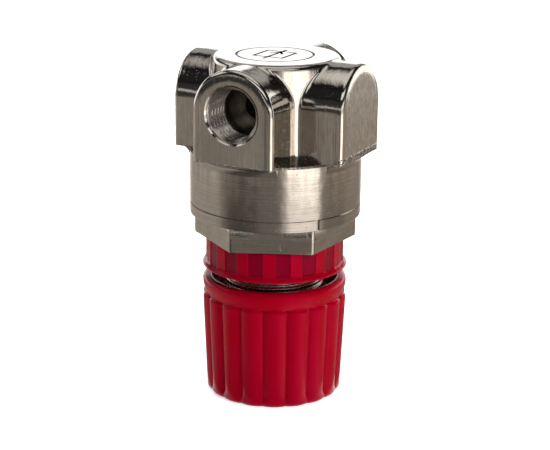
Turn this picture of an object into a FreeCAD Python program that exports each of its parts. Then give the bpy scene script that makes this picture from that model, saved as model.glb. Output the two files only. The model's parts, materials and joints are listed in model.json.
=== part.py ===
import FreeCAD, Part
import math
import os

# Four-way compressed-air pressure regulator, standing on its adjusting knob.
# Millimetres. The axis of the spring, valve and knob is Z, and z = 0 is the
# flat end of the knob. The inlet port looks along -Y, the two outlet ports
# along -X and +Y, and the boss on +X is left blank.

V = FreeCAD.Vector
X = V(1, 0, 0)
Y = V(0, 1, 0)
Z = V(0, 0, 1)
ORIGIN = V(0, 0, 0)

# ---- driving dimensions ------------------------------------------------------
BODY_R = 20.3                # turned lower cylinder of the cast body
BODY_BOTTOM = 44.55
BODY_LOW_CHAMFER = 0.1
SHELF_CHAMFER = 0.35
SHELF_Z = 59.85               # ledge between the bosses, top of the cylinder
BAND_H = 2.5                 # plain band below the groove line
BAND_GROOVE = 0.3
BAND_NOTCH_ANGLE = -34.0     # staking notch in the band, degrees from +X
COLUMN_R = 15.0              # round column between the bosses
TOP_Z = 81.95
TOP_ROUND = 1.3
BADGE_AT = (-0.35, -0.2)      # the engraved badge sits a little off the axis
BADGE_RING_R = 9.0
BADGE_GROOVE = 0.6
BADGE_STROKE = 0.7           # width of the engraved flow symbol's lines
BADGE_DEPTH = 0.35
BADGE_SQUARE = 7.4
BADGE_STUB = 2.0             # flow lines above and below the square
BADGE_ARROW = 1.5            # half width of the arrow's head

BOSS_FACE = 22.0             # from the axis to a port face
BOSS_HALF_W = 10.2
BOSS_PILLOW_R = 9.8          # the face bends gently near its border
BOSS_PILLOW_ANGLE = 9.0
BOSS_ROUND = 1.1             # then turns tightly into the sides
BOSS_FOOT_CHAMFER = 0.3      # broken lower edge of each face
BOSS_ROOT_R = 1.2            # hollow fillet between a boss's side and the column
PORT_Z = 71.6
SKIRT_H = 2.2                # concave blend under each overhanging boss

PORT_R = 6.6                 # G 1/4 thread, hole wall at the major radius
PORT_MOUTH_R = 6.9
PORT_THREAD_L = 7.8
PORT_RELIEF_R = 6.95
PORT_RELIEF_L = 1.2
PORT_STEP_R = 5.2
PORT_STEP_L = 3.3
INLET_PASSAGE_R = 3.0
OUTLET_DRILL_R = 2.0
OUTLET_DRILL_AT = 11.8       # from the axis to the vertical drilling

HEX_FLATS = 33.5
HEX_CORNER_ANGLE = 24.5      # first corner, degrees from +X
HEX_BOTTOM = 38.55
STEM_R = 12.0                # M24 x 1.5 outside
STEM_END = 8.35
SPRING_BORE_R = 9.6
FOLLOWER_POCKET_R = 12.6
FOLLOWER_POCKET_Z = 44.35
BONNET_TOP = 50.15
BONNET_THREAD_R = 16.5
BODY_THREAD_R = 16.6

CHAMBER_R = 14.0             # outlet chamber above the diaphragm
CHAMBER_TOP = 57.35
DIAPHRAGM_R = 16.3
DIAPHRAGM_T = 1.0
SLIP_RING_T = 0.8

SEAT_BORE_R = 6.0
SEAT_FLANGE_R = 7.4
SEAT_FLANGE_T = 1.4
SEAT_TOP = 66.35
SEAT_LIP_H = 0.6
SEAT_HOLE_R = 2.4
SEAT_FIT_GAP = 0.05          # radial, bushing in its bore
O_RING_GROOVE_R = 4.55
O_RING_GROOVE_LOW = 63.55
O_RING_GROOVE_HIGH = 65.15
O_RING_WIRE_R = 0.7
SEAL_R = 3.6
SEAL_T = 1.6
POPPET_R = 4.3
POPPET_TOP = 70.15
POPPET_CHAMBER_R = 5.6
POPPET_CHAMBER_TOP = 75.35
TAIL_R = 1.9
TAIL_TOP = 77.35
TAIL_BORE_TOP = 79.35
PIN_R = 1.2

RING_BOTTOM = 31.35
RING_R = 16.5
RING_RIBS = 16
RING_RIB_ANGLE = 9.3         # each rib's share of the circle; wider flats lie between
RING_LIP_R = 17.3
RING_LIP_H = 1.3
WASHER_R = 15.0
WASHER_T = 0.6

KNOB_TOP = 28.85
KNOB_BASE_R = 16.35
KNOB_SHOULDER_R = 17.35
KNOB_SHOULDER_Z = 24.3
KNOB_RIM_R = 17.25
KNOB_NECK_DEPTH = 0.85       # hollow between the lobes and the rim
KNOB_LOBES = 18
KNOB_LOBE_DROP = 1.0         # from a lobe's crown to the valley beside it
KNOB_LOBE_ANGLE = 8.0        # first valley, degrees from +X
KNOB_MOUTH_R = 15.0
KNOB_MOUTH_DEPTH = 4.0
KNOB_FLOOR = 5.0
KNOB_EDGE = 1.0

THREAD_CLEARANCE = 0.06      # radial, between running threads
SLIDE_CLEARANCE = 0.08       # radial, spring cap in the spring bore
TAIL_CLEARANCE = 0.05
TOUCH_GAP = 0.02             # faces that meet across a joint

THRUST_PLATE_R = 8.0
THRUST_PLATE_T = 2.0
BALL_R = 2.5
BALL_SEAT_DEPTH = 0.1
CAP_BOTTOM = 10.6
CAP_T = 4.4
SPRING_MEAN_R = 7.7
SPRING_WIRE = 2.2
SPRING_TURNS = 7.0
HUB_R = 6.2                  # spigots that centre the main spring
HUB_H = 2.5
CAP_CORE_R = 3.2             # clearance hole above the ball
FOLLOWER_HUB_H = 2.7
FOLLOWER_R = 11.8
FOLLOWER_T = 1.4
POPPET_SPRING_MEAN_R = 3.0
POPPET_SPRING_WIRE = 0.6
POPPET_SPRING_TURNS = 5.0

DIAPHRAGM_TOP = 51.95
DIAPHRAGM_BOTTOM = DIAPHRAGM_TOP - DIAPHRAGM_T
STACK_WASHER_T = 0.8
STACK_WASHER_R = 9.5
RIVET_TOP = 53.65
RIVET_R = 2.0
RIVET_HEAD_R = 3.6
RIVET_FOOT_R = 3.0
RIVET_FOOT_T = 0.7
RELIEF_HOLE_R = 0.6


# ---- helpers -----------------------------------------------------------------
def polar(radius, degrees, z=0.0):
    a = math.radians(degrees)
    return V(radius * math.cos(a), radius * math.sin(a), z)


def rod(radius, bottom, top):
    return Part.makeCylinder(radius, top - bottom, V(0, 0, bottom), Z)


def tube(outer, inner, bottom, top):
    return rod(outer, bottom, top).cut(rod(inner, bottom - 1, top + 1))


def turned(points):
    """Solid of revolution about Z from (radius, z) corners."""
    outline = Part.makePolygon([V(r, 0, z) for r, z in points + points[:1]])
    return Part.Face(outline).revolve(ORIGIN, Z, 360)


def along_x(radius, start, end, z):
    return Part.makeCylinder(radius, end - start, V(start, 0, z), X)


def on_side(shape, degrees):
    copy = shape.copy()
    copy.rotate(ORIGIN, Z, degrees)
    return copy


def polygon_prism(radius, sides, first_angle, bottom, top):
    step = 360.0 / sides
    corners = [polar(radius, first_angle + step * k, bottom) for k in range(sides + 1)]
    return Part.Face(Part.makePolygon(corners)).extrude(V(0, 0, top - bottom))


def coil(mean_r, wire, turns, bottom, top):
    """Round-wire spring whose outside runs from bottom to top."""
    start = bottom + wire / 2
    height = top - bottom - wire
    helix = Part.makeHelix(height / turns, height, mean_r)
    helix.translate(V(0, 0, start))
    section = Part.Wire(Part.makeCircle(wire / 2, V(mean_r, 0, start), Y))
    return Part.Wire(helix.Edges).makePipeShell([section], True, True)


def edges_where(shape, test):
    return [edge for edge in shape.Edges if test(edge)]


# ---- cast body ---------------------------------------------------------------
def boss_half_profile():
    """Half of a boss's section through its axis, from the axis round the face's border to the side."""
    bend = math.radians(BOSS_PILLOW_ANGLE)
    half_bend = bend / 2
    past_bend = (bend + math.pi / 2) / 2
    flat_end = BOSS_HALF_W - BOSS_ROUND - (BOSS_PILLOW_R - BOSS_ROUND) * math.sin(bend)
    wide = V(BOSS_FACE - BOSS_PILLOW_R, flat_end, 0)

    def direction(angle):
        return V(math.cos(angle), math.sin(angle), 0)
    border = wide + direction(bend) * BOSS_PILLOW_R
    tight = border - direction(bend) * BOSS_ROUND
    side = tight + Y * BOSS_ROUND
    face_centre = V(BOSS_FACE, 0, 0)
    flat = V(BOSS_FACE, flat_end, 0)
    return [
        Part.makeLine(ORIGIN, face_centre),
        Part.makeLine(face_centre, flat),
        Part.Arc(flat, wide + direction(half_bend) * BOSS_PILLOW_R, border).toShape(),
        Part.Arc(border, tight + direction(past_bend) * BOSS_ROUND, side).toShape(),
        Part.makeLine(side, V(0, BOSS_HALF_W, 0)),
        Part.makeLine(V(0, BOSS_HALF_W, 0), ORIGIN),
    ]


def boss():
    """One tombstone-shaped boss on +X, its face slightly pillowed and its lower edge broken."""
    half = Part.Face(Part.Wire(boss_half_profile()))
    other_half = half.mirror(ORIGIN, Y)
    upright = V(0, 0, PORT_Z - SHELF_Z)
    straight = half.extrude(upright).fuse(other_half.extrude(upright))
    straight.translate(V(0, 0, SHELF_Z))
    arch = half.copy()
    arch.translate(V(0, 0, PORT_Z))
    arch = arch.revolve(V(0, 0, PORT_Z), X, 180)
    block = straight.fuse(arch).removeSplitter()
    c = BOSS_FOOT_CHAMFER
    corner = Part.makePolygon([V(BOSS_FACE - c, 0, SHELF_Z), V(BOSS_FACE + c, 0, SHELF_Z + 2 * c),
                               V(BOSS_FACE + c, 0, SHELF_Z), V(BOSS_FACE - c, 0, SHELF_Z)])
    foot = Part.Face(corner).extrude(Y * (2 * BOSS_HALF_W + 2))
    foot.translate(V(0, -BOSS_HALF_W - 1, 0))
    return block.cut(foot)


def boss_skirt():
    """Concave blend that carries a boss's overhang into the cylinder."""
    low = SHELF_Z - SKIRT_H
    reach = BODY_R + SKIRT_H
    bend = math.sqrt(0.5) * SKIRT_H
    profile = Part.Wire([
        Part.makeLine(V(BODY_R - 2, 0, low), V(BODY_R, 0, low)),
        Part.Arc(V(BODY_R, 0, low), V(reach - bend, 0, low + bend), V(reach, 0, SHELF_Z)).toShape(),
        Part.makeLine(V(reach, 0, SHELF_Z), V(BODY_R - 2, 0, SHELF_Z)),
        Part.makeLine(V(BODY_R - 2, 0, SHELF_Z), V(BODY_R - 2, 0, low)),
    ])
    ring = Part.Face(profile).revolve(ORIGIN, Z, 360)
    reach_x = BOSS_FACE - BOSS_FOOT_CHAMFER
    half = BOSS_HALF_W - BOSS_ROUND / 2
    footprint = Part.makeBox(reach_x, 2 * half, SKIRT_H + 1, V(0, -half, low - 0.5))
    return ring.common(footprint)


def column():
    post = rod(COLUMN_R, SHELF_Z - 1, TOP_Z)
    rim = edges_where(post, lambda e: e.BoundBox.ZMin > TOP_Z - 0.01)
    return post.makeFillet(TOP_ROUND, rim)


def port():
    """Threaded hole on +X: mouth chamfer, thread, relief groove and step."""
    thread_end = BOSS_FACE - PORT_THREAD_L
    relief_end = thread_end - PORT_RELIEF_L
    step_end = relief_end - PORT_STEP_L
    chamfer = PORT_MOUTH_R - PORT_R
    chamfer_start = V(BOSS_FACE - chamfer, 0, PORT_Z)
    mouth = Part.makeCone(PORT_R, PORT_MOUTH_R + 0.5, chamfer + 0.5, chamfer_start, X)
    hole = along_x(PORT_R, thread_end, BOSS_FACE + 1, PORT_Z)
    relief = along_x(PORT_RELIEF_R, relief_end, thread_end, PORT_Z)
    step = along_x(PORT_STEP_R, step_end, relief_end, PORT_Z)
    return hole.multiFuse([mouth, relief, step])


def inlet_port():
    return port().fuse(along_x(INLET_PASSAGE_R, 0, BOSS_FACE - PORT_THREAD_L, PORT_Z))


def outlet_port():
    drilling = Part.makeCylinder(
        OUTLET_DRILL_R, PORT_Z - CHAMBER_TOP, V(OUTLET_DRILL_AT, 0, CHAMBER_TOP - 1), Z)
    return port().fuse(drilling)


def stroke(points, width, depth):
    """Flat engraved line through the points, with square ends."""
    parts = []
    for start, end in zip(points, points[1:]):
        along = V(end[0] - start[0], end[1] - start[1], 0)
        bar = Part.makeBox(along.Length + width, width, depth + 1, V(-width / 2, -width / 2, -depth))
        bar.rotate(ORIGIN, Z, math.degrees(math.atan2(along.y, along.x)))
        bar.translate(V(start[0], start[1], 0))
        parts.append(bar)
    return parts[0].multiFuse(parts[1:]) if len(parts) > 1 else parts[0]


def badge():
    """Engraved circle with a regulator's plain flow symbol: a square, an arrow and two stubs."""
    h = BADGE_SQUARE / 2
    head = BADGE_ARROW
    circle = tube(BADGE_RING_R + BADGE_GROOVE / 2, BADGE_RING_R - BADGE_GROOVE / 2, -BADGE_DEPTH, 1)
    lines = [
        [(-h, -h), (h, -h), (h, h), (-h, h), (-h, -h)],
        [(0, -h - BADGE_STUB), (0, h + BADGE_STUB)],
        [(-head, h - 2 * head), (0, h - head / 2), (head, h - 2 * head)],
    ]
    mark = circle.multiFuse([stroke(points, BADGE_STROKE, BADGE_DEPTH) for points in lines])
    mark.translate(V(BADGE_AT[0], BADGE_AT[1], TOP_Z))
    return mark


def body_cavity():
    return turned([
        (0, BODY_BOTTOM - 1), (BODY_THREAD_R, BODY_BOTTOM - 1), (BODY_THREAD_R, DIAPHRAGM_TOP),
        (CHAMBER_R, DIAPHRAGM_TOP), (CHAMBER_R, CHAMBER_TOP), (SEAT_BORE_R, CHAMBER_TOP),
        (SEAT_BORE_R, SEAT_TOP), (POPPET_CHAMBER_R, SEAT_TOP),
        (POPPET_CHAMBER_R, POPPET_CHAMBER_TOP), (TAIL_R + TAIL_CLEARANCE, POPPET_CHAMBER_TOP),
        (TAIL_R + TAIL_CLEARANCE, TAIL_BORE_TOP), (0, TAIL_BORE_TOP),
    ])


def fill_roots(casting):
    """Round the hollow corners where the bosses' sides run into the column."""
    def is_root(edge):
        ends = [edge.valueAt(edge.FirstParameter), edge.valueAt(edge.LastParameter)]
        on_column = all(abs(math.hypot(p.x, p.y) - COLUMN_R) < 0.01 for p in ends)
        return on_column and abs(ends[0].z - ends[1].z) > 0.5
    return casting.makeFillet(BOSS_ROOT_R, edges_where(casting, is_root))


def valve_body():
    low = BODY_LOW_CHAMFER
    high = SHELF_CHAMFER
    cylinder = turned([
        (0, BODY_BOTTOM), (BODY_R - low, BODY_BOTTOM), (BODY_R, BODY_BOTTOM + low),
        (BODY_R, SHELF_Z - high), (BODY_R - high, SHELF_Z), (0, SHELF_Z),
    ])
    bosses = [on_side(boss(), 90 * k) for k in range(4)]
    skirts = [on_side(boss_skirt(), 90 * k) for k in range(4)]
    casting = fill_roots(cylinder.multiFuse([column()] + bosses).removeSplitter())
    casting = casting.multiFuse(skirts).removeSplitter()

    groove_z = BODY_BOTTOM + BAND_H
    band_groove = tube(BODY_R + 1, BODY_R - BAND_GROOVE, groove_z, groove_z + BAND_GROOVE)
    notch = Part.makeBox(1.2, 0.8, BAND_H + 1, V(BODY_R - 0.45, -0.4, BODY_BOTTOM - 1))
    cuts = [
        body_cavity(), band_groove, on_side(notch, BAND_NOTCH_ANGLE), badge(),
        on_side(inlet_port(), -90), on_side(outlet_port(), 180), on_side(outlet_port(), 90),
    ]
    for cut in cuts:
        casting = casting.cut(cut)
    return casting


# ---- bonnet, lock ring and knob ------------------------------------------------
def bonnet():
    corner_r = HEX_FLATS / 2 / math.cos(math.radians(30))
    flange = polygon_prism(corner_r, 6, HEX_CORNER_ANGLE, HEX_BOTTOM, BODY_BOTTOM)
    stem = rod(STEM_R, STEM_END, HEX_BOTTOM)
    neck = rod(BONNET_THREAD_R, BODY_BOTTOM, BONNET_TOP)
    bore = rod(SPRING_BORE_R, STEM_END - 1, BONNET_TOP)
    pocket = rod(FOLLOWER_POCKET_R, FOLLOWER_POCKET_Z, BONNET_TOP + 1)
    return flange.multiFuse([stem, neck]).cut(bore).cut(pocket)


def lock_ring():
    top = HEX_BOTTOM - TOUCH_GAP
    step = 360.0 / RING_RIBS
    half = RING_RIB_ANGLE / 2
    corners = []
    for k in range(RING_RIBS):
        corners += [polar(RING_R, step * k - half, RING_BOTTOM), polar(RING_R, step * k + half, RING_BOTTOM)]
    grip = Part.Face(Part.makePolygon(corners + corners[:1])).extrude(V(0, 0, top - RING_BOTTOM))
    taper = 0.5
    lip = turned([
        (0, RING_BOTTOM), (RING_LIP_R - taper, RING_BOTTOM), (RING_LIP_R, RING_BOTTOM + taper),
        (RING_LIP_R, RING_BOTTOM + RING_LIP_H), (RING_R - taper, RING_BOTTOM + RING_LIP_H + taper),
        (0, RING_BOTTOM + RING_LIP_H + taper),
    ])
    thread = rod(STEM_R + THREAD_CLEARANCE, RING_BOTTOM - 1, top + 1)
    recess = rod(WASHER_R + 0.2, top - WASHER_T, top + 1)
    return grip.fuse(lip).cut(thread).cut(recess)


def ring_washer():
    top = HEX_BOTTOM - TOUCH_GAP
    return tube(WASHER_R, STEM_R + 0.3, top - WASHER_T, top)


def knob_blank():
    rim_low = KNOB_SHOULDER_Z + KNOB_NECK_DEPTH
    rim_mid = (rim_low + KNOB_TOP) / 2
    e = KNOB_EDGE
    mouth_low = KNOB_TOP - KNOB_MOUTH_DEPTH
    neck = KNOB_NECK_DEPTH
    bend = e * (1 - math.sqrt(0.5))
    thread_r = STEM_R + THREAD_CLEARANCE
    outline = [
        Part.makeLine(V(0, 0, 0), V(KNOB_BASE_R - e, 0, 0)),
        Part.Arc(V(KNOB_BASE_R - e, 0, 0), V(KNOB_BASE_R - bend, 0, bend),
                 V(KNOB_BASE_R, 0, e)).toShape(),
        Part.makeLine(V(KNOB_BASE_R, 0, e), V(KNOB_SHOULDER_R, 0, KNOB_SHOULDER_Z)),
        Part.makeLine(V(KNOB_SHOULDER_R, 0, KNOB_SHOULDER_Z), V(KNOB_SHOULDER_R - neck, 0, rim_low)),
        Part.Arc(V(KNOB_SHOULDER_R - neck, 0, rim_low), V(KNOB_RIM_R, 0, rim_mid),
                 V(KNOB_SHOULDER_R - neck, 0, KNOB_TOP)).toShape(),
        Part.makeLine(V(KNOB_SHOULDER_R - neck, 0, KNOB_TOP), V(KNOB_MOUTH_R, 0, KNOB_TOP)),
        Part.makeLine(V(KNOB_MOUTH_R, 0, KNOB_TOP), V(KNOB_MOUTH_R, 0, mouth_low)),
        Part.makeLine(V(KNOB_MOUTH_R, 0, mouth_low), V(thread_r, 0, mouth_low)),
        Part.makeLine(V(thread_r, 0, mouth_low), V(thread_r, 0, KNOB_FLOOR)),
        Part.makeLine(V(thread_r, 0, KNOB_FLOOR), V(0, 0, KNOB_FLOOR)),
        Part.makeLine(V(0, 0, KNOB_FLOOR), V(0, 0, 0)),
    ]
    return Part.Face(Part.Wire(outline)).revolve(ORIGIN, Z, 360)


def lobed_wire(crown_r, z):
    """Closed outline of the knob's rounded lobes, one arc each."""
    step = 360.0 / KNOB_LOBES
    arcs = []
    for k in range(KNOB_LOBES):
        valley = KNOB_LOBE_ANGLE + step * k
        start = polar(crown_r - KNOB_LOBE_DROP, valley, z)
        crown = polar(crown_r, valley + step / 2, z)
        end = polar(crown_r - KNOB_LOBE_DROP, valley + step, z)
        arcs.append(Part.Arc(start, crown, end).toShape())
    return Part.Wire(arcs)


def adjusting_knob():
    slope = (KNOB_SHOULDER_R - KNOB_BASE_R) / KNOB_SHOULDER_Z
    below = -1.0
    ends = [lobed_wire(KNOB_BASE_R + slope * below, below), lobed_wire(KNOB_SHOULDER_R, KNOB_SHOULDER_Z)]
    grip = Part.makeLoft(ends, True, True)
    rim = rod(KNOB_RIM_R + 1, KNOB_SHOULDER_Z, KNOB_TOP + 1)
    return knob_blank().common(grip.fuse(rim))


# ---- spring train --------------------------------------------------------------
def ball_centre():
    return V(0, 0, KNOB_FLOOR + THRUST_PLATE_T - BALL_SEAT_DEPTH + BALL_R)


def thrust_plate():
    plate = rod(THRUST_PLATE_R, KNOB_FLOOR, KNOB_FLOOR + THRUST_PLATE_T)
    return plate.cut(Part.makeSphere(BALL_R + TOUCH_GAP, ball_centre()))


def thrust_ball():
    return Part.makeSphere(BALL_R, ball_centre())


def spring_cap():
    seat = CAP_BOTTOM + CAP_T
    disc = rod(SPRING_BORE_R - SLIDE_CLEARANCE, CAP_BOTTOM, seat)
    hub = Part.makeCone(HUB_R, HUB_R - 0.5, HUB_H, V(0, 0, seat), Z)
    core = rod(CAP_CORE_R, seat - 1, seat + HUB_H + 1)
    return disc.fuse(hub).cut(core).cut(Part.makeSphere(BALL_R + TOUCH_GAP, ball_centre()))


def main_spring():
    return coil(SPRING_MEAN_R, SPRING_WIRE, SPRING_TURNS,
                CAP_BOTTOM + CAP_T, DIAPHRAGM_BOTTOM - FOLLOWER_T)


def spring_follower():
    plate_low = DIAPHRAGM_BOTTOM - FOLLOWER_T
    hub_low = plate_low - FOLLOWER_HUB_H
    return turned([
        (RIVET_R, hub_low), (HUB_R - 0.5, hub_low), (HUB_R, plate_low),
        (FOLLOWER_R, plate_low), (FOLLOWER_R, DIAPHRAGM_BOTTOM), (RIVET_R, DIAPHRAGM_BOTTOM),
    ])


# ---- diaphragm stack -------------------------------------------------------------
def diaphragm():
    return tube(DIAPHRAGM_R, RIVET_R, DIAPHRAGM_BOTTOM, DIAPHRAGM_TOP)


def diaphragm_washer():
    return tube(STACK_WASHER_R, RIVET_R, DIAPHRAGM_TOP, DIAPHRAGM_TOP + STACK_WASHER_T)


def relief_rivet():
    head_low = DIAPHRAGM_TOP + STACK_WASHER_T
    foot_high = DIAPHRAGM_BOTTOM - FOLLOWER_T - FOLLOWER_HUB_H
    foot_low = foot_high - RIVET_FOOT_T
    return turned([
        (RELIEF_HOLE_R, foot_low), (RIVET_FOOT_R, foot_low), (RIVET_FOOT_R, foot_high),
        (RIVET_R, foot_high), (RIVET_R, head_low), (RIVET_HEAD_R, head_low),
        (RIVET_HEAD_R - 0.4, RIVET_TOP), (RELIEF_HOLE_R, RIVET_TOP),
    ])


def slip_ring():
    return tube(DIAPHRAGM_R, FOLLOWER_POCKET_R, BONNET_TOP, BONNET_TOP + SLIP_RING_T)


# ---- valve ---------------------------------------------------------------------------
def seat_bushing():
    flange_low = CHAMBER_TOP - SEAT_FLANGE_T
    shank_r = SEAT_BORE_R - SEAT_FIT_GAP
    return turned([
        (SEAT_HOLE_R, flange_low), (SEAT_FLANGE_R, flange_low), (SEAT_FLANGE_R, CHAMBER_TOP),
        (shank_r, CHAMBER_TOP), (shank_r, O_RING_GROOVE_LOW), (O_RING_GROOVE_R, O_RING_GROOVE_LOW),
        (O_RING_GROOVE_R, O_RING_GROOVE_HIGH), (shank_r, O_RING_GROOVE_HIGH), (shank_r, SEAT_TOP),
        (SEAT_HOLE_R + 1.1, SEAT_TOP), (SEAT_HOLE_R + 0.5, SEAT_TOP + SEAT_LIP_H),
        (SEAT_HOLE_R, SEAT_TOP + SEAT_LIP_H),
    ])


def seat_o_ring():
    middle = V(0, 0, (O_RING_GROOVE_LOW + O_RING_GROOVE_HIGH) / 2)
    return Part.makeTorus(O_RING_GROOVE_R + O_RING_WIRE_R + TOUCH_GAP, O_RING_WIRE_R, middle, Z)


def poppet_seal():
    low = SEAT_TOP + SEAT_LIP_H + TOUCH_GAP
    return rod(SEAL_R, low, low + SEAL_T)


def poppet():
    low = SEAT_TOP + SEAT_LIP_H + TOUCH_GAP
    lip = 0.5
    return turned([
        (0, low + SEAL_T), (SEAL_R, low + SEAL_T), (SEAL_R, low + lip), (POPPET_R - 0.3, low + lip),
        (POPPET_R, low + lip + 0.3), (POPPET_R, POPPET_TOP), (TAIL_R, POPPET_TOP),
        (TAIL_R, TAIL_TOP - 0.5), (TAIL_R - 0.5, TAIL_TOP), (0, TAIL_TOP),
    ])


def poppet_spring():
    return coil(POPPET_SPRING_MEAN_R, POPPET_SPRING_WIRE, POPPET_SPRING_TURNS,
                POPPET_TOP, POPPET_CHAMBER_TOP)


def push_pin():
    top = SEAT_TOP + SEAT_LIP_H + TOUCH_GAP
    low = RIVET_TOP + TOUCH_GAP
    return turned([(0, low), (0.5, low), (PIN_R, low + 0.9), (PIN_R, top), (0, top)])


# ---- write one file per piece -----------------------------------------------------------
PIECES = [
    valve_body, bonnet, lock_ring, ring_washer, adjusting_knob, thrust_plate, thrust_ball,
    spring_cap, main_spring, spring_follower, diaphragm, diaphragm_washer, relief_rivet,
    slip_ring, seat_bushing, seat_o_ring, poppet, poppet_seal, poppet_spring, push_pin,
]


def write_parts():
    os.makedirs("parts", exist_ok=True)
    for make in PIECES:
        shape = make()
        if shape.ShapeType == "Compound" and len(shape.Solids) == 1:
            shape = shape.Solids[0]
        print(make.__name__, shape.ShapeType, shape.isValid(), round(shape.Volume, 1))
        shape.exportStep("parts/" + make.__name__ + ".step")


write_parts()
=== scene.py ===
import json
import math

import bmesh
import bpy
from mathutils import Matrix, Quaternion, Vector


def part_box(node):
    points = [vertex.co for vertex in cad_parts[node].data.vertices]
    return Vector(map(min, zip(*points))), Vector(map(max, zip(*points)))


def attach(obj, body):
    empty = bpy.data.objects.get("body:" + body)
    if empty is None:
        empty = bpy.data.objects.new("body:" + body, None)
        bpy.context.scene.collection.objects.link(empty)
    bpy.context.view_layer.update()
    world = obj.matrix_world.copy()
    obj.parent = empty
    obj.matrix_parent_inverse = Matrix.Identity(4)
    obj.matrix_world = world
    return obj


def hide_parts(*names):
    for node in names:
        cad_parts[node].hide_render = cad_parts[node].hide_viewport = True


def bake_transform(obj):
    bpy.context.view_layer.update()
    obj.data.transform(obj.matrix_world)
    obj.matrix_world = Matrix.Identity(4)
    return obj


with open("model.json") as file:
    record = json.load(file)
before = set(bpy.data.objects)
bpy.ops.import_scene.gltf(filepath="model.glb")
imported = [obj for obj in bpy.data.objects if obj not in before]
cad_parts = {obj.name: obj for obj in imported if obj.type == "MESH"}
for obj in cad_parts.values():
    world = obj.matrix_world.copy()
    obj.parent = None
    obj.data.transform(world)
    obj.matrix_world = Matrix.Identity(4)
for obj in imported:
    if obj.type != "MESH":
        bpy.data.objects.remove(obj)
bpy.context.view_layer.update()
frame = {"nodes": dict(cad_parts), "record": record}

MM = 0.001

# ---- camera: the pressure regulator seen from its front right, slightly above ----
CAMERA_AZIMUTH = math.radians(27.1)
CAMERA_ELEVATION = math.radians(16.8)
CAMERA_DISTANCE = 379 * MM
CAMERA_AIM_HEIGHT = 40.55 * MM
CAMERA_ROLL = math.radians(0.6)
CAMERA_LENS = 103.6          # on a 36 mm sensor
LIGHT_AIM_HEIGHT = 45 * MM

# ---- sizes that the frame gives --------------------------------------------------
BODY_LOW, BODY_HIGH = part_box("valve_body")
BONNET_LOW, BONNET_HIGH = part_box("bonnet")
RING_LOW, RING_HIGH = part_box("lock_ring")
KNOB_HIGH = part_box("adjusting_knob")[1]
MOUNTS = {m["name"]: m for m in frame["record"]["mounts"]}

HEX_BOTTOM = MOUNTS["panel_seat"]["pos_m"][2]
STEM_R = MOUNTS["panel_seat"]["dims"]["r_mm"] * MM
HEX_TOP = BODY_LOW.z
TOP_Z = BODY_HIGH.z
SHELF_DEPTH = 22.1 * MM          # the cylinder's flat top, below the body's
SHELF_Z = TOP_Z - SHELF_DEPTH
PORT_Z = MOUNTS["inlet_port"]["pos_m"][2]
CYLINDER_R = 20.3 * MM
PORT_NAMES = ["inlet_port", "outlet_port_left", "outlet_port_back"]


# ---- node material helpers -------------------------------------------------------
class Graph:
    """A material's node tree, with short calls for the nodes used here."""

    def __init__(self, name):
        self.material = bpy.data.materials.new(name)
        self.material.use_nodes = True
        self.tree = self.material.node_tree
        self.shader = self.tree.nodes["Principled BSDF"]
        self.place = self.add("ShaderNodeTexCoord").outputs["Object"]

    def add(self, kind, **settings):
        node = self.tree.nodes.new(kind)
        for key, value in settings.items():
            setattr(node, key, value)
        return node

    def link(self, source, target):
        if isinstance(source, (int, float)):
            target.default_value = source
        else:
            self.tree.links.new(source, target)

    def math(self, operation, a, b=0.0, clamp=False):
        node = self.add("ShaderNodeMath", operation=operation, use_clamp=clamp)
        self.link(a, node.inputs[0])
        self.link(b, node.inputs[1])
        return node.outputs[0]

    def scaled(self, sx, sy, sz, source=None):
        node = self.add("ShaderNodeMapping")
        node.inputs["Scale"].default_value = (sx, sy, sz)
        self.link(source or self.place, node.inputs["Vector"])
        return node.outputs[0]

    def axis(self, name, source=None):
        node = self.add("ShaderNodeSeparateXYZ")
        self.link(source or self.place, node.inputs[0])
        return node.outputs[name]

    def radius(self):
        """Distance from the part's axis."""
        across = self.math("POWER", self.axis("X"), 2.0)
        along = self.math("POWER", self.axis("Y"), 2.0)
        return self.math("SQRT", self.math("ADD", across, along))

    def noise(self, vector, scale, detail=3.0, roughness=0.5):
        node = self.add("ShaderNodeTexNoise")
        self.link(vector, node.inputs["Vector"])
        node.inputs["Scale"].default_value = scale
        node.inputs["Detail"].default_value = detail
        node.inputs["Roughness"].default_value = roughness
        return node.outputs["Fac"]

    def remap(self, value, low, high, out_low=0.0, out_high=1.0):
        node = self.add("ShaderNodeMapRange")
        self.link(value, node.inputs["Value"])
        node.inputs["From Min"].default_value = low
        node.inputs["From Max"].default_value = high
        node.inputs["To Min"].default_value = out_low
        node.inputs["To Max"].default_value = out_high
        return node.outputs["Result"]

    def within(self, value, low, high, soft):
        """1 between low and high, fading to 0 over soft outside them."""
        above = self.remap(value, low - soft, low)
        below = self.remap(value, high, high + soft, 1.0, 0.0)
        return self.math("MULTIPLY", above, below)

    def mix(self, factor, a, b, blend="MIX"):
        node = self.add("ShaderNodeMix", data_type="RGBA", blend_type=blend)
        self.link(factor, node.inputs["Factor"])
        for colour, socket in ((a, node.inputs[6]), (b, node.inputs[7])):
            if isinstance(colour, tuple):
                socket.default_value = colour + (1.0,)
            else:
                self.link(colour, socket)
        return node.outputs[2]

    def bump(self, height, strength, distance, below=None):
        node = self.add("ShaderNodeBump")
        node.inputs["Strength"].default_value = strength
        node.inputs["Distance"].default_value = distance
        self.link(height, node.inputs["Height"])
        if below is not None:
            self.link(below, node.inputs["Normal"])
        return node.outputs[0]

    def finish(self, colour=None, roughness=None, normal=None, **fixed):
        s = self.shader.inputs
        for name, value in (("Base Color", colour), ("Roughness", roughness), ("Normal", normal)):
            if isinstance(value, tuple):
                s[name].default_value = value + (1.0,)
            elif value is not None:
                self.link(value, s[name])
        for name, value in fixed.items():
            s[name.replace("_", " ")].default_value = value
        return self.material


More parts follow.
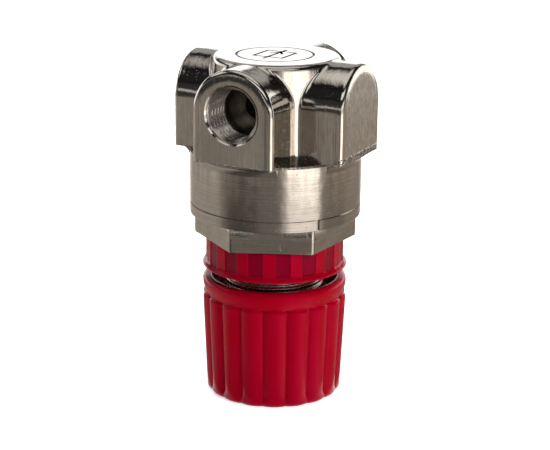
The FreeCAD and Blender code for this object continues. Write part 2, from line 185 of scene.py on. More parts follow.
# ---- materials -------------------------------------------------------------------
NICKEL = (0.66, 0.60, 0.53)
WORN_NICKEL = (0.54, 0.49, 0.43)
ENGRAVING_DARK = (0.035, 0.032, 0.03)
CRIMSON = (0.255, 0.0, 0.005)
ROSE = (0.26, 0.0, 0.009)
SUNK_SHADE_RED = (0.12, 0.0, 0.006)
MAGENTA_GLOSS = (1.0, 0.03, 0.22, 1.0)


def nickel_casting():
    """Polished nickel over a slightly uneven casting: vertical brushing on the bosses, turned lines on the
    cylinder, a rough-cast blank boss, a granular line along the bosses' feet with painted shade between its
    grains, painted shade deep in the ports and a dark engraving."""
    g = Graph("nickel_casting")
    up = g.axis("Z")
    turned = g.remap(up, SHELF_Z - 0.4 * MM, SHELF_Z - 0.1 * MM, 1.0, 0.0)
    bosses = g.math("SUBTRACT", 1.0, turned)
    below_top = g.remap(up, TOP_Z - 0.3 * MM, TOP_Z - 0.1 * MM, 1.0, 0.25)
    blank = g.remap(g.axis("X"), BODY_HIGH.x - 0.03 * MM, BODY_HIGH.x - 0.012 * MM)
    blank_side = g.remap(g.axis("X"), BODY_HIGH.x - 1.2 * MM, BODY_HIGH.x - 1.0 * MM)
    rim = g.within(up, SHELF_Z - 0.30 * MM, SHELF_Z + 0.30 * MM, 0.08 * MM)
    rim = g.math("MULTIPLY", rim, g.remap(g.radius(), CYLINDER_R - 0.9 * MM, CYLINDER_R - 0.5 * MM))
    foot = g.math("MULTIPLY", blank_side, g.within(up, SHELF_Z, SHELF_Z + 1.5 * MM, 0.25 * MM))
    grit_and_shade_band = g.math("MAXIMUM", g.math("MULTIPLY", rim, 0.8), foot)

    waves = g.math("MULTIPLY", g.noise(g.scaled(1, 1, 0.6), 190.0, 2.0), below_top)
    bands = g.math("MULTIPLY", g.noise(g.scaled(1050, 1050, 28), 1.0, 3.0, 0.65), bosses)
    lathe = g.noise(g.scaled(60, 60, 5200), 1.0, 3.0, 0.7)
    grit = g.remap(g.noise(g.place, 2300.0, 1.0), 0.46, 0.56)
    crazing = g.noise(g.scaled(2600, 2600, 520), 1.0, 3.0, 0.7)
    pits = g.remap(g.noise(g.place, 2300.0, 2.0), 0.70, 0.76)
    normal = g.bump(waves, 0.5, 0.24 * MM)
    normal = g.bump(bands, 0.6, 0.060 * MM, normal)
    normal = g.bump(g.math("MULTIPLY", lathe, turned), 0.50, 0.015 * MM, normal)
    normal = g.bump(g.math("MULTIPLY", crazing, blank), 0.8, 0.12 * MM, normal)
    normal = g.bump(g.math("MULTIPLY", grit, grit_and_shade_band), 0.9, 0.16 * MM, normal)
    normal = g.bump(g.math("SUBTRACT", 0.0, pits), 0.6, 0.05 * MM, normal)

    smudge = g.noise(g.place, 95.0, 4.0, 0.6)
    rough = g.remap(smudge, 0.3, 0.7, 0.05, 0.11)
    rough = g.math("ADD", rough, g.math("MULTIPLY", turned, g.remap(lathe, 0.3, 0.7, 0.03, 0.09)))
    rough = g.math("ADD", rough, g.math("MULTIPLY", blank, 0.16))
    tint = g.mix(g.remap(smudge, 0.35, 0.75), NICKEL, WORN_NICKEL)
    dull_lines = g.math("MULTIPLY", turned, g.remap(lathe, 0.42, 0.62, 0.0, 0.45))
    tint = g.mix(dull_lines, tint, (0.40, 0.36, 0.31))
    tint = g.mix(g.math("MULTIPLY", pits, 0.45), tint, (0.16, 0.14, 0.12))
    tint = g.mix(g.math("MULTIPLY", blank, g.remap(crazing, 0.46, 0.60)), tint, (0.46, 0.43, 0.34))
    # painted shade along the bosses' feet and the shelf edge: between its grains this band is coloured dark
    tint = g.mix(g.math("MULTIPLY", g.math("SUBTRACT", 1.0, grit), g.math("MULTIPLY", grit_and_shade_band, 0.75)),
                 tint, (0.13, 0.11, 0.09))
    for along, off_axis in (("X", "Y"), ("Y", "X")):
        aside = g.math("POWER", g.axis(off_axis), 2.0)
        above = g.math("POWER", g.math("SUBTRACT", up, PORT_Z), 2.0)
        from_axis = g.math("SQRT", g.math("ADD", aside, above))
        depth = g.math("ABSOLUTE", g.axis(along))
        # painted shade: deep inside each port the casting is coloured dark, and it is rougher there
        inside = g.math("MULTIPLY", g.remap(from_axis, 6.98 * MM, 7.02 * MM, 1.0, 0.0),
                        g.remap(depth, BODY_HIGH.x - 1.0 * MM, BODY_HIGH.x - 0.5 * MM, 1.0, 0.0))
        tint = g.mix(g.math("MULTIPLY", inside, 0.6), tint, (0.13, 0.11, 0.09))
        rough = g.math("ADD", rough, g.math("MULTIPLY", inside, 0.22))
    # the engraving's walls and floor are coloured near black
    engraved = g.within(up, TOP_Z - 0.95 * MM, TOP_Z - 0.08 * MM, 0.03 * MM)
    engraved = g.math("MULTIPLY", engraved, g.remap(g.radius(), 11.0 * MM, 11.2 * MM, 1.0, 0.0))
    tint = g.mix(engraved, tint, ENGRAVING_DARK)
    return g.finish(tint, rough, normal, Metallic=1.0)


def nickel_turned():
    """Nickel on machined steel: facing marks along the hexagon, with small nicks."""
    g = Graph("nickel_turned")
    lathe = g.noise(g.scaled(70, 70, 4200), 1.0, 3.0, 0.7)
    cloud = g.noise(g.place, 240.0, 4.0, 0.6)
    nicks = g.remap(g.noise(g.scaled(1, 1, 0.4), 1500.0, 2.0), 0.66, 0.73)
    normal = g.bump(g.noise(g.scaled(1, 1, 2.2), 170.0, 2.0), 0.5, 0.20 * MM)
    normal = g.bump(lathe, 0.55, 0.016 * MM, normal)
    normal = g.bump(g.math("SUBTRACT", 0.0, nicks), 0.5, 0.04 * MM, normal)
    rough = g.remap(cloud, 0.3, 0.7, 0.10, 0.22)
    tint = g.mix(g.remap(cloud, 0.35, 0.7), NICKEL, (0.50, 0.47, 0.39))
    tint = g.mix(g.remap(lathe, 0.42, 0.62, 0.0, 0.4), tint, (0.40, 0.38, 0.31))
    tint = g.mix(g.math("MULTIPLY", nicks, 0.6), tint, (0.18, 0.16, 0.13))
    return g.finish(tint, rough, normal, Metallic=1.0)


def nickel_thread(name, colour, low, high):
    """Nickel on a thread's flanks, duller than the faces."""
    g = Graph(name)
    cloud = g.noise(g.place, 700.0, 3.0, 0.6)
    grain = g.noise(g.place, 2600.0, 2.0)
    tint = g.mix(g.remap(cloud, 0.4, 0.7), colour, tuple(c * 0.75 for c in colour))
    return g.finish(tint, g.remap(cloud, 0.3, 0.7, low, high), g.bump(grain, 0.3, 0.02 * MM), Metallic=1.0)


def red_plastic(sunk_radius=None):
    """Glossy crimson moulding with slight sink marks, scuffs and specks. Inside sunk_radius it is darker:
    painted shade in the sunk flats.
    """
    g = Graph("red_plastic" if sunk_radius is None else "red_plastic_ribbed")
    cloud = g.noise(g.place, 130.0, 3.0)
    scuffs = g.remap(g.noise(g.scaled(900, 900, 220), 1.0, 4.0, 0.7), 0.62, 0.80)
    specks = g.remap(g.noise(g.place, 1500.0, 1.0), 0.78, 0.82)
    normal = g.bump(cloud, 0.35, 0.10 * MM)
    normal = g.bump(g.noise(g.scaled(1, 1, 0.25), 420.0, 2.0), 0.25, 0.03 * MM, normal)
    normal = g.bump(specks, 0.4, 0.03 * MM, normal)
    rough = g.math("ADD", g.remap(cloud, 0.3, 0.7, 0.17, 0.24), g.math("MULTIPLY", scuffs, 0.10))
    tint = g.mix(g.remap(cloud, 0.3, 0.7), CRIMSON, ROSE)
    tint = g.mix(g.math("MULTIPLY", scuffs, 0.15), tint, (0.40, 0.006, 0.035))
    if sunk_radius is not None:
        sunk = g.remap(g.radius(), sunk_radius - 0.02 * MM, sunk_radius, 1.0, 0.0)
        # painted shade: the sunk flats between the ribs, and all of the ring inside this radius, are coloured
        # darker
        tint = g.mix(g.math("MULTIPLY", sunk, 0.8), tint, SUNK_SHADE_RED)
        rough = g.math("ADD", rough, g.math("MULTIPLY", sunk, 0.10))
    shader = g.shader.inputs
    shader["Specular Tint"].default_value = MAGENTA_GLOSS
    return g.finish(tint, rough, normal, IOR=1.44)


def plain_metal(name, colour, low, high, lines=3000.0):
    g = Graph(name)
    cloud = g.noise(g.place, 300.0, 4.0, 0.6)
    turned = g.noise(g.scaled(80, 80, lines), 1.0, 2.0)
    dark = tuple(c * 0.72 for c in colour)
    tint = g.mix(g.remap(cloud, 0.4, 0.8), colour, dark)
    return g.finish(tint, g.remap(cloud, 0.3, 0.7, low, high), g.bump(turned, 0.3, 0.01 * MM), Metallic=1.0)


def rubber(name, colour, weave):
    g = Graph(name)
    grain = g.noise(g.place, 2600.0, 3.0)
    cloth = g.add("ShaderNodeTexMagic", turbulence_depth=1)
    g.link(g.place, cloth.inputs["Vector"])
    cloth.inputs["Scale"].default_value = 1800.0
    normal = g.bump(cloth.outputs["Fac"] if weave else grain, 0.4, 0.03 * MM)
    tint = g.mix(g.remap(grain, 0.3, 0.8), colour, tuple(c * 1.7 for c in colour))
    return g.finish(tint, g.remap(grain, 0.3, 0.7, 0.5, 0.72), normal)


def slip_plastic():
    g = Graph("slip_plastic")
    cloud = g.noise(g.place, 500.0, 3.0)
    tint = g.mix(cloud, (0.86, 0.85, 0.80), (0.76, 0.74, 0.68))
    return g.finish(tint, g.remap(cloud, 0.3, 0.7, 0.35, 0.5), g.bump(cloud, 0.2, 0.02 * MM))


# ---- mesh helpers ----------------------------------------------------------------
def mesh_object(name, corners, faces, material, sharp_angle=32.0):
    mesh = bpy.data.meshes.new(name)
    mesh.from_pydata([tuple(c) for c in corners], [], faces)
    bm = bmesh.new()
    bm.from_mesh(mesh)
    bmesh.ops.remove_doubles(bm, verts=bm.verts, dist=0.002 * MM)
    bmesh.ops.recalc_face_normals(bm, faces=bm.faces)
    bm.to_mesh(mesh)
    bm.free()
    for face in mesh.polygons:
        face.use_smooth = True
    mesh.set_sharp_from_angle(angle=math.radians(sharp_angle))
    mesh.materials.append(material)
    piece = bpy.data.objects.new(name, mesh)
    bpy.context.scene.collection.objects.link(piece)
    return piece


def wrap(rows, angles, place, closed):
    """Corners and faces of a surface swept round an axis. rows is the outline, angles the steps round it,
    place(row, angle) a corner; closed joins the last row to the first."""
    across = len(angles)
    corners = [place(row, angle) for row in rows for angle in angles]
    faces = []
    pairs = [(i, i + 1) for i in range(len(rows) - 1)]
    if closed:
        pairs.append((len(rows) - 1, 0))
    for low, high in pairs:
        for k in range(across):
            after = (k + 1) % across
            faces.append((low * across + k, low * across + after, high * across + after, high * across + k))
    return corners, faces


def even_angles(count):
    return [2 * math.pi * k / count for k in range(count)]


def point_at(radius, angle, height):
    return Vector((radius * math.cos(angle), radius * math.sin(angle), height))


def arc(centre, radius, start, end, steps):
    """Outline points (r, z) on an arc, angles in degrees."""
    points = []
    for k in range(steps + 1):
        a = math.radians(start + (end - start) * k / steps)
        points.append((centre[0] + radius * math.cos(a), centre[1] + radius * math.sin(a)))
    return points


def line(start, end, steps):
    """Points from start up to, but not including, end."""
    return [tuple(a + (b - a) * k / steps for a, b in zip(start, end)) for k in range(steps)]


def fade(value, start, end):
    t = min(max((value - start) / (end - start), 0.0), 1.0)
    return t * t * (3 - 2 * t)


def thread_depth(phase):
    """0 on the crest and 1 at the root of a 60 degree thread, with a flat crest and a rounded root."""
    t = abs((phase % 1.0) - 0.5) * 2
    return fade(t, 0.0, 0.22) * 0.12 + min(max((t - 0.10) / 0.74, 0.0), 1.0) * 0.88


# ---- adjusting knob --------------------------------------------------------------
KNOB_H = KNOB_HIGH.z / MM
RIM_R = 17.25
LOBES = 18
LOBE_START = math.radians(8.0)
LOBE_DROP = 1.0
LOBE_STEPS = 20
BASE_R = 16.35
SHOULDER_R = 17.35
SHOULDER_Z = KNOB_H - 4.55
NECK_R = 16.7
BEAD_Z = KNOB_H - 1.3


def lobe_angles():
    """Steps round the knob, closer together beside each valley."""
    half = math.pi / LOBES
    angles = []
    for k in range(LOBES):
        crown = LOBE_START + half * (2 * k + 1)
        angles += [crown - half * math.cos(math.pi * j / LOBE_STEPS) for j in range(LOBE_STEPS)]
    return angles


def lobe_drop(angle):
    """How far a rounded lobe's surface lies inside its crown, in mm."""
    half = math.pi / LOBES
    from_crown = (angle - LOBE_START) % (2 * half) - half
    reach = (SHOULDER_R - LOBE_DROP) * math.sin(half)
    rise = SHOULDER_R - (SHOULDER_R - LOBE_DROP) * math.cos(half)
    bend = (reach ** 2 + rise ** 2) / (2 * rise)
    centre = SHOULDER_R - bend
    surface = centre * math.cos(from_crown) + math.sqrt(bend ** 2 - (centre * math.sin(from_crown)) ** 2)
    return SHOULDER_R - surface


def knob_outline():
    """(r, z, share of the lobes) from the middle of the base, over the outside, to the middle of the
    floor."""
    edge = 1.0
    rows = [(r, 0.0, 0.0) for r in (0.0, 4.0, 8.0, 11.0, 13.0)]
    rows += [(r, z, 0.45) for r, z in arc((BASE_R - edge, edge), edge, -90, 0, 8)]
    rows += line((BASE_R, edge + 0.3, 0.55), (BASE_R + 0.06, edge + 1.6, 1.0), 4)
    rows += line((BASE_R + 0.06, edge + 1.6, 1.0), (SHOULDER_R, SHOULDER_Z - 0.7, 1.0), 22)
    rows += [(r, z, 1.0) for r, z in arc((SHOULDER_R - 0.5, SHOULDER_Z - 0.5), 0.5, 0, 60, 5)]
    rows += [(SHOULDER_R - 0.45, SHOULDER_Z + 0.08, 0.8), (SHOULDER_R - 0.58, SHOULDER_Z + 0.24, 0.45)]
    rows += [(SHOULDER_R - 0.63, SHOULDER_Z + 0.42, 0.15)]
    neck_z = SHOULDER_Z + 0.7
    swell = (RIM_R - NECK_R) / (BEAD_Z - neck_z) ** 2
    for k in range(8):
        z = neck_z + (BEAD_Z - neck_z) * k / 7
        rows.append((RIM_R - swell * (BEAD_Z - z) ** 2, z, 0.0))
    crown = KNOB_H - BEAD_Z
    mouth = 15.0
    rows += [(r, z, 0.0) for r, z in arc((RIM_R - crown, BEAD_Z), crown, 12, 90, 8)]
    rows += [(mouth + 0.5, KNOB_H - 0.02, 0.0), (mouth + 0.2, KNOB_H - 0.14, 0.0), (mouth, KNOB_H - 0.5, 0.0)]
    rows += [(mouth, KNOB_H - 2.0, 0.0), (mouth, KNOB_H - 4.0, 0.0), (mouth - 0.6, KNOB_H - 4.0, 0.0)]
    rows += [(12.5, KNOB_H - 4.0, 0.0), (STEM_R / MM + 0.06, KNOB_H - 4.4, 0.0)]
    rows += [(STEM_R / MM + 0.06, 5.0, 0.0), (8.0, 5.0, 0.0), (0.0, 5.0, 0.0)]
    return rows


def adjusting_knob(material):
    def place(row, angle):
        radius, height, share = row
        return point_at((radius - share * lobe_drop(angle)) * MM, angle, height * MM)
    corners, faces = wrap(knob_outline(), lobe_angles(), place, closed=False)
    return mesh_object("adjusting_knob_moulding", corners, faces, material, 48.0)


# ---- lock ring -------------------------------------------------------------------
RING_R = 16.5
RIBS = 16
RIB_HALF = 4.65              # degrees
FLAT_SUNK = 0.14
RIB_STEPS = [-4.65, -4.3, 0.0, 4.3, 4.65, 5.0, 5.5, 8.0, 11.25, 14.5, 17.0, 17.5]


def rib_angles():
    return [math.radians(360.0 / RIBS * k + step) for k in range(RIBS) for step in RIB_STEPS]


def rib_drop(angle):
    """Narrow flat ribs with wider flats sunk between them, inside the ring's full radius, in mm."""
    half_pitch = 180.0 / RIBS
    from_rib = abs((math.degrees(angle) + half_pitch) % (2 * half_pitch) - half_pitch)
    if from_rib <= RIB_HALF:
        return RING_R * (1 - math.cos(math.radians(RIB_HALF)) / math.cos(math.radians(from_rib)))
    half_flat = half_pitch - RIB_HALF
    from_middle = half_pitch - from_rib
    chord = 1 - math.cos(math.radians(half_flat)) / math.cos(math.radians(from_middle))
    return RING_R * chord + FLAT_SUNK * fade(from_rib - RIB_HALF, 0.0, 0.6)


def lock_ring(material):
    low = RING_LOW.z / MM
    high = RING_HIGH.z / MM
    lip = RING_HIGH.x / MM
    bore = STEM_R / MM + 0.06
    rows = [(bore, low + 0.3, 0.0), (bore + 0.35, low, 0.0), (14.0, low, 0.0), (lip - 0.6, low, 0.0)]
    rows += [(r, z, 0.0) for r, z in arc((lip - 0.35, low + 0.35), 0.35, -70, 45, 6)]
    rows += [(lip - 0.28, low + 0.78, 0.0), (lip - 0.5, low + 0.98, 0.2), (lip - 0.68, low + 1.2, 0.6)]
    rows += [(RING_R, low + 1.5, 1.0), (RING_R, low + 4.0, 1.0)]
    rows += [(RING_R, high - 0.5, 1.0), (16.44, high - 0.25, 1.0), (16.3, high - 0.08, 0.8)]
    rows += [(16.05, high, 0.3), (15.2, high, 0.0), (15.2, high - 0.6, 0.0), (13.0, high - 0.6, 0.0)]
    rows += [(bore + 0.3, high - 0.6, 0.0), (bore, high - 0.9, 0.0)]

    def place(row, angle):
        radius, height, share = row
        return point_at((radius - share * rib_drop(angle)) * MM, angle, height * MM)
    corners, faces = wrap(rows, rib_angles(), place, closed=True)
    return mesh_object("lock_ring_moulding", corners, faces, material, 20.0)


# ---- bonnet: hexagon and threaded stem -------------------------------------------
HEX_FLATS = 33.5
HEX_CORNER = math.radians(24.5)
STEM_PITCH = 1.5


def hex_radius(angle):
    """Radius of the hexagon, its corners turned off slightly."""
    sector = (angle - HEX_CORNER) % (math.pi / 3) - math.pi / 6
    flat = HEX_FLATS / 2 / math.cos(sector)
    corner_limit = HEX_FLATS / 2 / math.cos(math.pi / 6) - 0.12
    return min(flat, corner_limit)


def hex_angles():
    shares = [0.0, 0.012, 0.022, 0.032, 0.05, 0.12, 0.25, 0.4,
              0.5, 0.6, 0.75, 0.88, 0.95, 0.968, 0.978, 0.988]
    return [HEX_CORNER + math.pi / 3 * (k + share) for k in range(6) for share in shares]


def bonnet_hexagon(material):
    low = HEX_BOTTOM / MM
    high = HEX_TOP / MM
    inner = 12.3
    middle = 14.5
    rows = [(inner, low, 0.0, 0.0), (middle, low, 0.0, 0.0)]
    rows += [(0.0, low, 1.0, -0.28), (0.0, low + 0.06, 1.0, -0.12), (0.0, low + 0.28, 1.0, 0.0)]
    rows += [(0.0, (low + high) / 2, 1.0, 0.0)]
    rows += [(0.0, high - 0.28, 1.0, 0.0), (0.0, high - 0.06, 1.0, -0.12), (0.0, high, 1.0, -0.28)]
    rows += [(middle, high, 0.0, 0.0), (inner, high, 0.0, 0.0)]

    def place(row, angle):
        radius, height, on_hexagon, inset = row
        r = radius + on_hexagon * (hex_radius(angle) + inset)
        return point_at(r * MM, angle, height * MM)
    corners, faces = wrap(rows, hex_angles(), place, closed=True)
    return mesh_object("bonnet_hexagon", corners, faces, material, 28.0)


def rounded_thread(phase):
    """0 on the crest and 1 in the root of a worn, rounded thread."""
    return 0.5 - 0.5 * math.cos(2 * math.pi * phase)


def bonnet_stem(material):
    end = BONNET_LOW.z / MM
    top = BONNET_HIGH.z / MM
    shoulder = HEX_BOTTOM / MM
    bore = 9.6
    depth = 0.5
    stem = STEM_R / MM
    count = int((shoulder - end) / STEM_PITCH * 14)
    rows = [(bore, end + 0.3), (bore + 0.3, end)]
    rows += [(stem, end + (shoulder - end) * k / count) for k in range(count + 1)]
    flange = HEX_TOP / MM
    rows += [(stem - 0.4, shoulder + 0.4), (14.0, shoulder + 0.4), (14.0, flange - 0.1)]
    rows += [(16.5, flange - 0.1), (16.5, top), (12.6, top), (12.6, flange - 0.2), (bore, flange - 0.2)]

    def place(row, angle):
        radius, height = row
        if radius == stem:
            share = min(fade(height, end, end + 1.5) * 0.4 + 0.6, 1 - fade(height, shoulder - 1.2, shoulder))
            radius = stem - depth * max(rounded_thread(height / STEM_PITCH - angle / (2 * math.pi)) * share,
                                        fade(height, end + 0.8, end))
        return point_at(radius * MM, angle, height * MM)
    corners, faces = wrap(rows, even_angles(120), place, closed=True)
    return mesh_object("bonnet_stem", corners, faces, material, 50.0)


# ---- port threads ----------------------------------------------------------------
PORT_PITCH = 1.337
PORT_CREST_R = 5.6


def port_thread(mount, material):
    """Thread ridges that line one port, from its mouth chamfer to the relief groove."""
    wall = mount["dims"]["r_mm"]
    length = mount["dims"]["length_mm"]
    out = Vector(mount["axis"])
    face = Vector(mount["pos_m"])
    turn = out.to_track_quat("Z", "X").to_matrix()
    start = 0.35
    count = int((length - start) / PORT_PITCH * 14)
    heights = [-length + (length - start) * k / count for k in range(count + 1)]
    skin = 0.02
    rows = [(wall + skin, heights[0], False)]
    rows += [(PORT_CREST_R, h, True) for h in heights]
    rows += [(wall + skin, heights[-1], False)]

    def place(row, angle):
        radius, height, threaded = row
        if threaded:
            deep = thread_depth(height / PORT_PITCH - angle / (2 * math.pi))
            ends = max(fade(height, -start - 0.8, -start), fade(height, -length + 0.7, -length))
            radius += (wall - 0.02 - PORT_CREST_R) * max(deep, ends)
        return face + turn @ point_at(radius * MM, angle, height * MM)
    corners, faces = wrap(rows, even_angles(112), place, closed=True)
    return mesh_object(mount["name"] + "_thread", corners, faces, material, 60.0)


# ---- springs ---------------------------------------------------------------------
MAIN_WIRE = 2.2 * MM
MAIN_TURNS = 7.0
POPPET_WIRE = 0.6 * MM
POPPET_TURNS = 5.0
STEPS_PER_TURN = 36
WIRE_SIDES = 12


def coil_spring(node, wire, turns, material):
    """Round wire wound where the CAD has that spring, closed at both ends."""
    low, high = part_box(node)
    mean_r = high.x - wire / 2
    bottom = low.z + wire / 2
    rise = high.z - low.z - wire
    slope = math.atan2(rise / turns, 2 * math.pi * mean_r)
    steps = int(turns * STEPS_PER_TURN)
    corners = []
    for k in range(steps + 1):
        angle = 2 * math.pi * turns * k / steps
        outward = point_at(1.0, angle, 0.0)
        round_axis = point_at(1.0, angle + math.pi / 2, 0.0)
        across = Vector((0, 0, math.cos(slope))) - round_axis * math.sin(slope)
        centre = point_at(mean_r, angle, bottom + rise * k / steps)
        for side in even_angles(WIRE_SIDES):
            corners.append(centre + (outward * math.cos(side) + across * math.sin(side)) * (wire / 2))
    faces = []
    for k in range(steps):
        for side in range(WIRE_SIDES):
            here, after = k * WIRE_SIDES, (side + 1) % WIRE_SIDES
            faces.append((here + side, here + after, here + WIRE_SIDES + after, here + WIRE_SIDES + side))
    faces.append(tuple(range(WIRE_SIDES)))
    faces.append(tuple(steps * WIRE_SIDES + side for side in range(WIRE_SIDES)))
    return mesh_object(node + "_coil", corners, faces, material, 50.0)


def stretched_springs(material):
    """Round-wire coils where the CAD has each spring, in place of the CAD's springs."""
    for node, wire, turns, lower_body in (("main_spring", MAIN_WIRE, MAIN_TURNS, "spring_carrier"),
                                          ("poppet_spring", POPPET_WIRE, POPPET_TURNS, "valve")):
        spring = coil_spring(node, wire, turns, material)
        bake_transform(spring)
        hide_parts(node)


# ---- studio ----------------------------------------------------------------------
def aim(piece, target):
    piece.rotation_euler = (Vector(target) - piece.location).to_track_quat("-Z", "Y").to_euler()


def camera():
    data = bpy.data.cameras.new("camera")
    data.lens = CAMERA_LENS
    data.sensor_width = 36.0
    data.clip_start = 0.01
    data.clip_end = 50.0
    target = Vector((0, 0, CAMERA_AIM_HEIGHT))
    back = Vector((math.sin(CAMERA_AZIMUTH) * math.cos(CAMERA_ELEVATION),
                   -math.cos(CAMERA_AZIMUTH) * math.cos(CAMERA_ELEVATION), math.sin(CAMERA_ELEVATION)))
    piece = bpy.data.objects.new("camera", data)
    bpy.context.scene.collection.objects.link(piece)
    piece.location = target + back * CAMERA_DISTANCE
    turn = (-back).to_track_quat("-Z", "Y")
    piece.rotation_mode = "QUATERNION"
    piece.rotation_quaternion = turn @ Quaternion((0, 0, 1), CAMERA_ROLL)
    bpy.context.scene.camera = piece


def softbox(name, azimuth, elevation, distance, size, power):
    data = bpy.data.lights.new(name, "AREA")
    data.shape = "RECTANGLE"
    data.size, data.size_y = size
    data.energy = power
    piece = bpy.data.objects.new(name, data)
    bpy.context.scene.collection.objects.link(piece)
    a, e = math.radians(azimuth), math.radians(elevation)
    piece.location = Vector((math.sin(a) * math.cos(e), -math.cos(a) * math.cos(e), math.sin(e))) * distance
    piece.visible_glossy = False
    aim(piece, (0, 0, LIGHT_AIM_HEIGHT))


def ring_mesh(name, rings, material, segments=96):
    """Open surface through rings of (radius, height), for the floor and what the metal reflects."""
    def place(row, angle):
        return point_at(row[0], angle, row[1])
    corners, faces = wrap(rings, even_angles(segments), place, closed=False)
    return mesh_object(name, corners, faces, material)


def floor():
    """Pale floor, partly glowing so that the shadow under the knob stays faint."""
    g = Graph("floor")
    cloud = g.noise(g.place, 3.0, 2.0)
    g.shader.inputs["Emission Color"].default_value = (1, 1, 1, 1)
    pale = g.mix(cloud, (0.60, 0.60, 0.60), (0.62, 0.62, 0.62))
    material = g.finish(pale, 0.65, None, Emission_Strength=0.58)
    ring_mesh("floor", [(0.0, 0.0), (0.5, 0.0), (20.0, 0.0)], material)


def turn_round_part(g):
    """Direction round the part, in radians to the right of the camera's side."""
    east = g.axis("X")
    north = g.axis("Y")
    c, s = math.cos(CAMERA_AZIMUTH), math.sin(CAMERA_AZIMUTH)
    right = g.math("ADD", g.math("MULTIPLY", east, c), g.math("MULTIPLY", north, s))
    toward = g.math("SUBTRACT", g.math("MULTIPLY", east, s), g.math("MULTIPLY", north, c))
    return g.math("ARCTAN2", right, toward)


def round_the_part(g, turn, boards):
    """Colour by direction round the part. Each board is (left edge, right edge, brightness, tint), in degrees
    to the right of the camera, and one fades into the next."""
    ramp = g.add("ShaderNodeValToRGB")
    g.link(g.remap(turn, -math.pi, math.pi), ramp.inputs["Fac"])
    stops = ramp.color_ramp.elements
    stops.remove(stops[1])
    edges = [(edge, level, tint) for left, right, level, tint in boards for edge in (left, right)]
    for number, (degrees, level, tint) in enumerate(edges):
        place = 0.5 + degrees / 360.0
        stop = stops.new(place) if number else stops[0]
        stop.position = place
        stop.color = [level * part for part in tint] + [1.0]
    return ramp.outputs["Color"]


def reflected_only(piece):
    """What a glossy surface sees and nothing else does: it lights nothing and casts no shadow."""
    piece.visible_camera = False
    piece.visible_diffuse = False
    piece.visible_shadow = False
    piece.visible_transmission = False
    piece.visible_volume_scatter = False


def glowing(g, colour, strength=1.0):
    glow = g.add("ShaderNodeEmission")
    g.link(colour, glow.inputs["Color"])
    glow.inputs["Strength"].default_value = strength
    output = g.tree.nodes["Material Output"]
    g.link(glow.outputs[0], output.inputs["Surface"])
    return g.material


WARM = (1.0, 0.92, 0.84)
NEUTRAL = (1.0, 0.96, 0.91)
TAN = (1.0, 0.87, 0.76)
DAYLIGHT = (0.98, 0.99, 1.0)

# boards on the table, seen in the cylinder and hexagon
TABLE_NEAR = [
    (-180, -160, 0.9, WARM),        # white sweep behind the part
    (-145, -80, 0.4, WARM),         # grey board, left
    (-58, -28, 0.08, WARM),         # dark gap beside the camera
    (-15, 6, 0.18, WARM),           # camera's side
    (20, 54, 1.1, NEUTRAL),         # white card, front right
    (62, 98, 0.22, TAN),            # dark board, right
    (106, 145, 0.3, TAN),           # grey board, right and behind
    (165, 180, 0.9, WARM),          # white sweep again
]
# the same boards where the bosses see them, further out and nearer the lamps
TABLE_FAR = [
    (-180, -160, 0.9, WARM), (-145, -80, 0.45, WARM), (-66, -28, 0.27, WARM), (-15, 6, 0.25, WARM),
    (18, 52, 2.2, NEUTRAL), (64, 98, 0.35, TAN), (106, 145, 0.36, TAN), (165, 180, 0.9, WARM),
]
TABLE_SPLIT = 0.215             # the bosses mirror the table beyond this radius
SWEEP_START = 0.45              # the white sweep begins to rise here

ROOM_LOW = [                    # white sweep behind and a white card in front
    (-180, -130, 1.7, DAYLIGHT), (-85, 4, 0.04, DAYLIGHT), (14, 52, 1.0, DAYLIGHT), (62, 88, 0.1, DAYLIGHT),
    (110, 180, 1.7, DAYLIGHT)]
ROOM_MIDDLE = [                 # the sweep's upper edge
    (-180, -172, 1.5, DAYLIGHT), (-152, 100, 0.04, DAYLIGHT), (108, 134, 1.5, DAYLIGHT),
    (142, 150, 0.1, DAYLIGHT), (172, 180, 1.5, DAYLIGHT)]
ROOM_HIGH = [                   # lamps: one to the left, one over the camera, a dim ceiling behind
    (-180, -128, 0.45, DAYLIGHT), (-118, -84, 1.0, DAYLIGHT), (-74, -40, 0.02, DAYLIGHT),
    (-30, 32, 1.1, DAYLIGHT), (40, 136, 0.02, DAYLIGHT), (148, 180, 0.5, DAYLIGHT)]
HORIZON = [                     # broken row of pale things at table height
    (-180, -82, 0.0, DAYLIGHT), (-72, -40, 0.7, DAYLIGHT), (-28, 58, 1.1, DAYLIGHT), (70, 180, 0.0, DAYLIGHT)]
ROOM_DARK = (0.012, 0.012, 0.014)
CEILING = (0.80, 0.80, 0.79)

# the dome that stands for the room, and the heights between which each part of it gives way to the next
ROOM_R = 2.8
HORIZON_BAND = (0.12, 0.40)
LOW_TO_MIDDLE = (0.58, 0.70)
MIDDLE_TO_DARK = (0.95, 1.15)
LAMP_BAND = (1.30, 2.00)
DARK_TO_CEILING = (2.30, 2.55)


def table_reflection():
    """The boards that stand on the table. Their far part is uneven, and rises into the white sweep."""
    g = Graph("table_reflection")
    turn = turn_round_part(g)
    radius = g.radius()
    near = round_the_part(g, turn, TABLE_NEAR)
    far = round_the_part(g, turn, TABLE_FAR)
    direction = g.add("ShaderNodeVectorMath", operation="NORMALIZE")
    g.link(g.place, direction.inputs[0])
    uneven = g.remap(g.noise(direction.outputs[0], 12.0, 2.0), 0.35, 0.65, 0.6, 1.4)
    far = g.mix(1.0, far, uneven, "MULTIPLY")
    colour = g.mix(g.remap(radius, TABLE_SPLIT - 0.01, TABLE_SPLIT + 0.01), near, far)
    sweep = round_the_part(g, turn, ROOM_LOW)
    colour = g.mix(g.remap(radius, SWEEP_START, SWEEP_START + 0.15), colour, sweep)
    rings = [(0.019, 0.0006), (0.2, 0.0006), (3.0, 0.0006)]
    reflected_only(ring_mesh("table_reflection", rings, glowing(g, colour)))


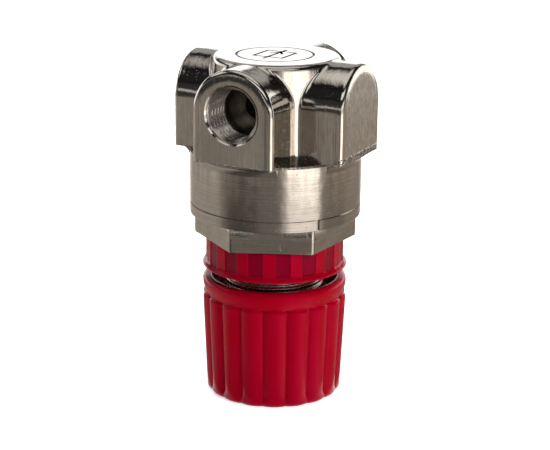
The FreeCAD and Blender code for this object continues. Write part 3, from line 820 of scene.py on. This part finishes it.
def room_reflection():
    """White sweep behind the part, dark above it, with a few lamps that the rims and threads pick up."""
    g = Graph("room_reflection")
    turn = turn_round_part(g)
    height = g.axis("Z")
    patches = g.remap(g.noise(g.place, 5.0, 3.0, 0.7), 0.48, 0.54)
    patches = g.math("MULTIPLY", g.within(height, *HORIZON_BAND, 0.05), patches)
    low = round_the_part(g, turn, ROOM_LOW)
    colour = g.mix(g.remap(height, *LOW_TO_MIDDLE), low, round_the_part(g, turn, ROOM_MIDDLE))
    colour = g.mix(g.remap(height, *MIDDLE_TO_DARK), colour, ROOM_DARK)
    colour = g.mix(g.within(height, *LAMP_BAND, 0.05), colour, round_the_part(g, turn, ROOM_HIGH))
    colour = g.mix(g.remap(height, *DARK_TO_CEILING), colour, CEILING)
    colour = g.mix(patches, colour, round_the_part(g, turn, HORIZON), "ADD")
    slopes = [math.radians(e) for e in range(0, 90, 6)]
    rings = [(ROOM_R * math.cos(slope), ROOM_R * math.sin(slope)) for slope in slopes]
    reflected_only(ring_mesh("room_reflection", rings + [(0.0, ROOM_R)], glowing(g, colour)))


def room_light():
    """Plain pale room: dim fill for the surfaces, white where the camera looks past the floor."""
    world = bpy.data.worlds.new("room")
    bpy.context.scene.world = world
    world.use_nodes = True
    tree = world.node_tree
    background = tree.nodes["Background"]
    seen = tree.nodes.new("ShaderNodeLightPath").outputs["Is Camera Ray"]
    level = tree.nodes.new("ShaderNodeMapRange")
    tree.links.new(seen, level.inputs["Value"])
    level.inputs["To Min"].default_value = 0.12
    level.inputs["To Max"].default_value = 1.0
    background.inputs["Color"].default_value = (1, 1, 1, 1)
    tree.links.new(level.outputs["Result"], background.inputs["Strength"])


# ---- assemble --------------------------------------------------------------------
def assemble():
    casting = nickel_casting()
    turned = nickel_turned()
    red = red_plastic()

    knob = adjusting_knob(red)
    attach(knob, "knob")
    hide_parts("adjusting_knob")

    ring = lock_ring(red_plastic((RING_R - 0.08) * MM))
    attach(ring, "lock_ring")
    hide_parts("lock_ring")

    stem_finish = nickel_thread("nickel_stem", (0.72, 0.62, 0.53), 0.20, 0.32)
    for make, finish in ((bonnet_hexagon, turned), (bonnet_stem, stem_finish)):
        piece = make(finish)
        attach(piece, "housing")
        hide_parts("bonnet")

    # painted shade: the port threads take a darker copy of the casting's nickel, for the shade inside the
    # ports
    shaded_port_finish = nickel_thread("nickel_port_thread", (0.45, 0.40, 0.35), 0.22, 0.32)
    for name in PORT_NAMES:
        thread = port_thread(MOUNTS[name], shaded_port_finish)
        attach(thread, "housing")

    steel = plain_metal("ground_steel", (0.56, 0.56, 0.57), 0.22, 0.34)
    wire = plain_metal("spring_wire", (0.36, 0.36, 0.38), 0.28, 0.42, 900.0)
    aluminium = plain_metal("aluminium", (0.78, 0.78, 0.79), 0.26, 0.40)
    brass = plain_metal("brass", (0.80, 0.60, 0.28), 0.18, 0.32)
    sealing = rubber("seal_rubber", (0.02, 0.02, 0.02), weave=False)
    sheet = rubber("diaphragm_rubber", (0.03, 0.03, 0.032), weave=True)
    finishes = {
        "valve_body": casting, "ring_washer": steel, "thrust_plate": steel, "thrust_ball": steel,
        "spring_cap": steel, "spring_follower": aluminium,
        "diaphragm_washer": aluminium, "relief_rivet": brass, "seat_bushing": brass, "poppet": brass,
        "push_pin": brass, "seat_o_ring": sealing, "poppet_seal": sealing, "diaphragm": sheet,
        "slip_ring": slip_plastic(),
    }
    stretched_springs(wire)
    for name, material in finishes.items():
        node = frame["nodes"][name]
        node.data.materials.clear()
        node.data.materials.append(material)


assemble()
floor()
table_reflection()
room_reflection()
room_light()
camera()
softbox("overhead", 200, 76, 1.1, (1.0, 1.0), 28.0)
softbox("key_right", 75, 35, 0.9, (0.3, 0.45), 5.8)
bpy.context.scene.view_settings.view_transform = "Standard"
